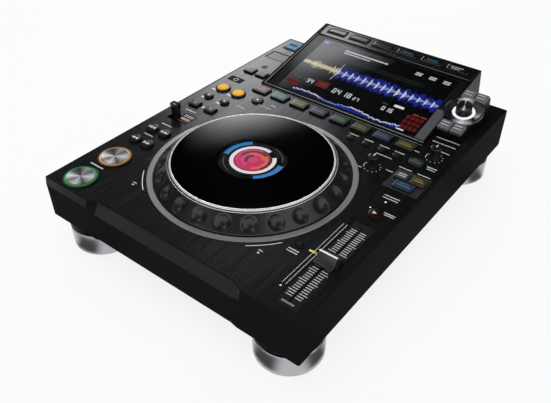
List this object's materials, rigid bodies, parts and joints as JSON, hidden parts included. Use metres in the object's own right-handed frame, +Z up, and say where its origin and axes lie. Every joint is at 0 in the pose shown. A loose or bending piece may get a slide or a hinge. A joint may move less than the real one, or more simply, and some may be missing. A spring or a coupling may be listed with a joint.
{
  "type": "tabletop dj media player",
  "caption": "Flat tabletop DJ player with a large jog wheel, tilted screen, tempo fader, transport buttons and round feet.",
  "frame": {"origin": "centre of the footprint, on the plane that the feet stand on", "axes": "+X to the user's right, +Y from the user to the rear, +Z up"},
  "size_m": [0.329, 0.453, 0.1181],
  "materials": {
    "case_plastic": "satin moulded ABS",
    "panel_metal": "black anodised, hairline brushed",
    "chassis_steel": "zinc plated and painted sheet",
    "rear_metal": "powder coated sheet",
    "foot_metal": "turned, satin",
    "rubber_black": "matt",
    "screw_steel": "black oxide",
    "screen_glass": "polished black-backed glass",
    "screen_panel": "lit screen",
    "ring_metal": "silver satin anodised",
    "cast_frame": "die cast",
    "bearing_steel": "ground",
    "wheel_plastic": "semi-gloss moulded",
    "rim_chrome": "plated",
    "plate_glass": "polished black-printed glass",
    "jog_screen": "lit round display",
    "fader_steel": "stamped",
    "knob_plastic": "matt moulded",
    "board_green": "solder mask",
    "board_brown": "phenolic board",
    "socket_plastic": "moulded",
    "socket_metal": "nickel plated",
    "usb_plastic": "translucent, lit blue",
    "door_plastic": "satin moulded",
    "pod_plastic": "satin moulded",
    "pod_key_plastic": "satin moulded",
    "shaft_steel": "turned",
    "selector_metal": "black plated, knurled",
    "play_lens": "clear ring lit green, spun metal dish",
    "cue_lens": "clear ring lit amber, spun metal dish",
    "button_black": "satin moulded",
    "loop_lens": "lit amber",
    "source_key_plastic": "tinted, back lit",
    "memory_key_plastic": "satin moulded",
    "jog_mode_plastic": "tinted, back lit",
    "sync_plastic": "tinted, back lit",
    "key_sync_plastic": "tinted, back lit",
    "master_plastic": "tinted, back lit",
    "tempo_red_plastic": "tinted, back lit",
    "function_plastic": "satin moulded",
    "hot_cue_a_plastic": "tinted, back lit",
    "hot_cue_b_plastic": "tinted, back lit",
    "hot_cue_c_plastic": "tinted, back lit",
    "hot_cue_d_plastic": "tinted, back lit",
    "hot_cue_e_plastic": "tinted, back lit",
    "hot_cue_f_plastic": "tinted, back lit",
    "hot_cue_g_plastic": "tinted, back lit",
    "hot_cue_h_plastic": "tinted, back lit"
  },
  "bodies": {
    "case": {"upper_case": "case_plastic", "control_panel": "panel_metal", "bottom_chassis": "chassis_steel", "rear_panel": "rear_metal", "display_housing": "case_plastic", "foot_sleeves": "foot_metal", "foot_cores": "rubber_black", "case_screws": "screw_steel", "touch_glass": "screen_glass", "lcd_panel": "screen_panel", "rotary_pod": "pod_plastic", "jog_surround_ring": "ring_metal", "jog_base": "cast_frame", "jog_bearing": "bearing_steel", "jog_display": "jog_screen", "tempo_fader_unit": "fader_steel", "main_board": "board_green", "key_board": "board_green", "power_supply": "board_brown", "ac_inlet": "socket_plastic", "signal_sockets": "socket_metal", "usb_port": "usb_plastic"},
    "jog": {"jog_wheel": "wheel_plastic", "jog_rim": "rim_chrome", "jog_plate": "plate_glass"},
    "fader": {"fader_knob": "knob_plastic"},
    "lever": {"direction_lever": "knob_plastic"},
    "selector_stem": {"selector_shaft": "shaft_steel"},
    "selector_cap": {"selector_knob": "selector_metal"},
    "vinyl_speed": {"vinyl_speed_knob": "knob_plastic"},
    "jog_adjust": {"jog_adjust_knob": "knob_plastic"},
    "card_door": {"sd_door": "door_plastic"},
    "power_switch": {"power_rocker": "socket_plastic"},
    "play_button_body": {"play_button": "play_lens"},
    "cue_button_body": {"cue_button": "cue_lens"},
    "search_back_body": {"search_back": "button_black"},
    "search_forward_body": {"search_forward": "button_black"},
    "track_keys_body": {"track_keys": "button_black"},
    "beat_jump_keys_body": {"beat_jump_keys": "button_black"},
    "beat_loop_keys_body": {"beat_loop_keys": "button_black"},
    "loop_in_button_body": {"loop_in_button": "loop_lens"},
    "loop_out_button_body": {"loop_out_button": "loop_lens"},
    "source_keys_body": {"source_keys": "source_key_plastic"},
    "memory_keys_body": {"memory_keys": "memory_key_plastic"},
    "jog_mode_key_body": {"jog_mode_key": "jog_mode_plastic"},
    "sync_key_body": {"sync_key": "sync_plastic"},
    "key_sync_key_body": {"key_sync_key": "key_sync_plastic"},
    "master_key_body": {"master_key": "master_plastic"},
    "master_tempo_button_body": {"master_tempo_button": "tempo_red_plastic"},
    "tempo_range_button_body": {"tempo_range_button": "button_black"},
    "pod_keys_body": {"pod_keys": "pod_key_plastic"},
    "function_keys_body": {"function_keys": "function_plastic"},
    "hot_cue_a_body": {"hot_cue_a": "hot_cue_a_plastic"},
    "hot_cue_b_body": {"hot_cue_b": "hot_cue_b_plastic"},
    "hot_cue_c_body": {"hot_cue_c": "hot_cue_c_plastic"},
    "hot_cue_d_body": {"hot_cue_d": "hot_cue_d_plastic"},
    "hot_cue_e_body": {"hot_cue_e": "hot_cue_e_plastic"},
    "hot_cue_f_body": {"hot_cue_f": "hot_cue_f_plastic"},
    "hot_cue_g_body": {"hot_cue_g": "hot_cue_g_plastic"},
    "hot_cue_h_body": {"hot_cue_h": "hot_cue_h_plastic"}
  },
  "joints": [
    {"name": "jog_spin", "type": "hinge", "parent": "case", "child": "jog", "pos_m": [0, -0.0857, 0.0854], "axis": [0, 0, 1], "continuous": true},
    {"name": "tempo_slide", "type": "slide", "parent": "case", "child": "fader", "axis": [0, 1, 0], "range_m": [-0.05, 0.05]},
    {"name": "lever_tilt", "type": "hinge", "parent": "case", "child": "lever", "pos_m": [-0.1455, -0.0534, 0.071], "axis": [1, 0, 0], "range_deg": [0, 24]},
    {"name": "selector_press", "type": "slide", "parent": "case", "child": "selector_stem", "axis": [0, -0.2103, 0.9776], "range_m": [-0.0008, 0], "stiffness_N_per_m": 700, "springref_m": 0.0004},
    {"name": "selector_spin", "type": "hinge", "parent": "selector_stem", "child": "selector_cap", "pos_m": [0.1339, 0.13194, 0.10608], "axis": [0, -0.2103, 0.9776], "continuous": true},
    {"name": "vinyl_speed_turn", "type": "hinge", "parent": "case", "child": "vinyl_speed", "pos_m": [0.095, -0.0025, 0.0854], "axis": [0, 0, 1], "range_deg": [-150, 150]},
    {"name": "jog_adjust_turn", "type": "hinge", "parent": "case", "child": "jog_adjust", "pos_m": [0.14, 0.0525, 0.0854], "axis": [0, 0, 1], "range_deg": [-150, 150]},
    {"name": "sd_door_open", "type": "hinge", "parent": "case", "child": "card_door", "pos_m": [-0.1417, 0.1498, 0.08435], "axis": [-1, 0, 0], "range_deg": [0, 100]},
    {"name": "power_rock", "type": "hinge", "parent": "case", "child": "power_switch", "pos_m": [0.097, 0.2127, 0.0667], "axis": [1, 0, 0], "range_deg": [-16, 0]},
    {"name": "play_button_press", "type": "slide", "parent": "case", "child": "play_button_body", "axis": [0, 0, 1], "range_m": [-0.0015, 0], "stiffness_N_per_m": 600, "springref_m": 0.0004},
    {"name": "cue_button_press", "type": "slide", "parent": "case", "child": "cue_button_body", "axis": [0, 0, 1], "range_m": [-0.0015, 0], "stiffness_N_per_m": 600, "springref_m": 0.0004},
    {"name": "search_back_press", "type": "slide", "parent": "case", "child": "search_back_body", "axis": [0, 0, 1], "range_m": [-0.0012, 0], "stiffness_N_per_m": 600, "springref_m": 0.0004},
    {"name": "search_forward_press", "type": "slide", "parent": "case", "child": "search_forward_body", "axis": [0, 0, 1], "range_m": [-0.0012, 0], "stiffness_N_per_m": 600, "springref_m": 0.0004},
    {"name": "track_keys_press", "type": "slide", "parent": "case", "child": "track_keys_body", "axis": [0, 0, 1], "range_m": [-0.0012, 0], "stiffness_N_per_m": 600, "springref_m": 0.0004},
    {"name": "beat_jump_keys_press", "type": "slide", "parent": "case", "child": "beat_jump_keys_body", "axis": [0, 0, 1], "range_m": [-0.0012, 0], "stiffness_N_per_m": 600, "springref_m": 0.0004},
    {"name": "beat_loop_keys_press", "type": "slide", "parent": "case", "child": "beat_loop_keys_body", "axis": [0, 0, 1], "range_m": [-0.0012, 0], "stiffness_N_per_m": 600, "springref_m": 0.0004},
    {"name": "loop_in_button_press", "type": "slide", "parent": "case", "child": "loop_in_button_body", "axis": [0, 0, 1], "range_m": [-0.0012, 0], "stiffness_N_per_m": 600, "springref_m": 0.0004},
    {"name": "loop_out_button_press", "type": "slide", "parent": "case", "child": "loop_out_button_body", "axis": [0, 0, 1], "range_m": [-0.0012, 0], "stiffness_N_per_m": 600, "springref_m": 0.0004},
    {"name": "source_keys_press", "type": "slide", "parent": "case", "child": "source_keys_body", "axis": [0, 0, 1], "range_m": [-0.0012, 0], "stiffness_N_per_m": 600, "springref_m": 0.0004},
    {"name": "memory_keys_press", "type": "slide", "parent": "case", "child": "memory_keys_body", "axis": [0, 0, 1], "range_m": [-0.0012, 0], "stiffness_N_per_m": 600, "springref_m": 0.0004},
    {"name": "jog_mode_key_press", "type": "slide", "parent": "case", "child": "jog_mode_key_body", "axis": [0, 0, 1], "range_m": [-0.0012, 0], "stiffness_N_per_m": 600, "springref_m": 0.0004},
    {"name": "sync_key_press", "type": "slide", "parent": "case", "child": "sync_key_body", "axis": [0, 0, 1], "range_m": [-0.0012, 0], "stiffness_N_per_m": 600, "springref_m": 0.0004},
    {"name": "key_sync_key_press", "type": "slide", "parent": "case", "child": "key_sync_key_body", "axis": [0, 0, 1], "range_m": [-0.0012, 0], "stiffness_N_per_m": 600, "springref_m": 0.0004},
    {"name": "master_key_press", "type": "slide", "parent": "case", "child": "master_key_body", "axis": [0, 0, 1], "range_m": [-0.0012, 0], "stiffness_N_per_m": 600, "springref_m": 0.0004},
    {"name": "master_tempo_button_press", "type": "slide", "parent": "case", "child": "master_tempo_button_body", "axis": [0, 0, 1], "range_m": [-0.0012, 0], "stiffness_N_per_m": 600, "springref_m": 0.0004},
    {"name": "tempo_range_button_press", "type": "slide", "parent": "case", "child": "tempo_range_button_body", "axis": [0, 0, 1], "range_m": [-0.0012, 0], "stiffness_N_per_m": 600, "springref_m": 0.0004},
    {"name": "pod_keys_press", "type": "slide", "parent": "case", "child": "pod_keys_body", "axis": [0, -0.2103, 0.9776], "range_m": [-0.0008, 0], "stiffness_N_per_m": 600, "springref_m": 0.0004},
    {"name": "function_keys_press", "type": "slide", "parent": "case", "child": "function_keys_body", "axis": [0, -0.2103, 0.9776], "range_m": [-0.0006, 0], "stiffness_N_per_m": 600, "springref_m": 0.0004},
    {"name": "hot_cue_a_press", "type": "slide", "parent": "case", "child": "hot_cue_a_body", "axis": [0, 0, 1], "range_m": [-0.0012, 0], "stiffness_N_per_m": 600, "springref_m": 0.0004},
    {"name": "hot_cue_b_press", "type": "slide", "parent": "case", "child": "hot_cue_b_body", "axis": [0, 0, 1], "range_m": [-0.0012, 0], "stiffness_N_per_m": 600, "springref_m": 0.0004},
    {"name": "hot_cue_c_press", "type": "slide", "parent": "case", "child": "hot_cue_c_body", "axis": [0, 0, 1], "range_m": [-0.0012, 0], "stiffness_N_per_m": 600, "springref_m": 0.0004},
    {"name": "hot_cue_d_press", "type": "slide", "parent": "case", "child": "hot_cue_d_body", "axis": [0, 0, 1], "range_m": [-0.0012, 0], "stiffness_N_per_m": 600, "springref_m": 0.0004},
    {"name": "hot_cue_e_press", "type": "slide", "parent": "case", "child": "hot_cue_e_body", "axis": [0, 0, 1], "range_m": [-0.0012, 0], "stiffness_N_per_m": 600, "springref_m": 0.0004},
    {"name": "hot_cue_f_press", "type": "slide", "parent": "case", "child": "hot_cue_f_body", "axis": [0, 0, 1], "range_m": [-0.0012, 0], "stiffness_N_per_m": 600, "springref_m": 0.0004},
    {"name": "hot_cue_g_press", "type": "slide", "parent": "case", "child": "hot_cue_g_body", "axis": [0, 0, 1], "range_m": [-0.0012, 0], "stiffness_N_per_m": 600, "springref_m": 0.0004},
    {"name": "hot_cue_h_press", "type": "slide", "parent": "case", "child": "hot_cue_h_body", "axis": [0, 0, 1], "range_m": [-0.0012, 0], "stiffness_N_per_m": 600, "springref_m": 0.0004}
  ]
}
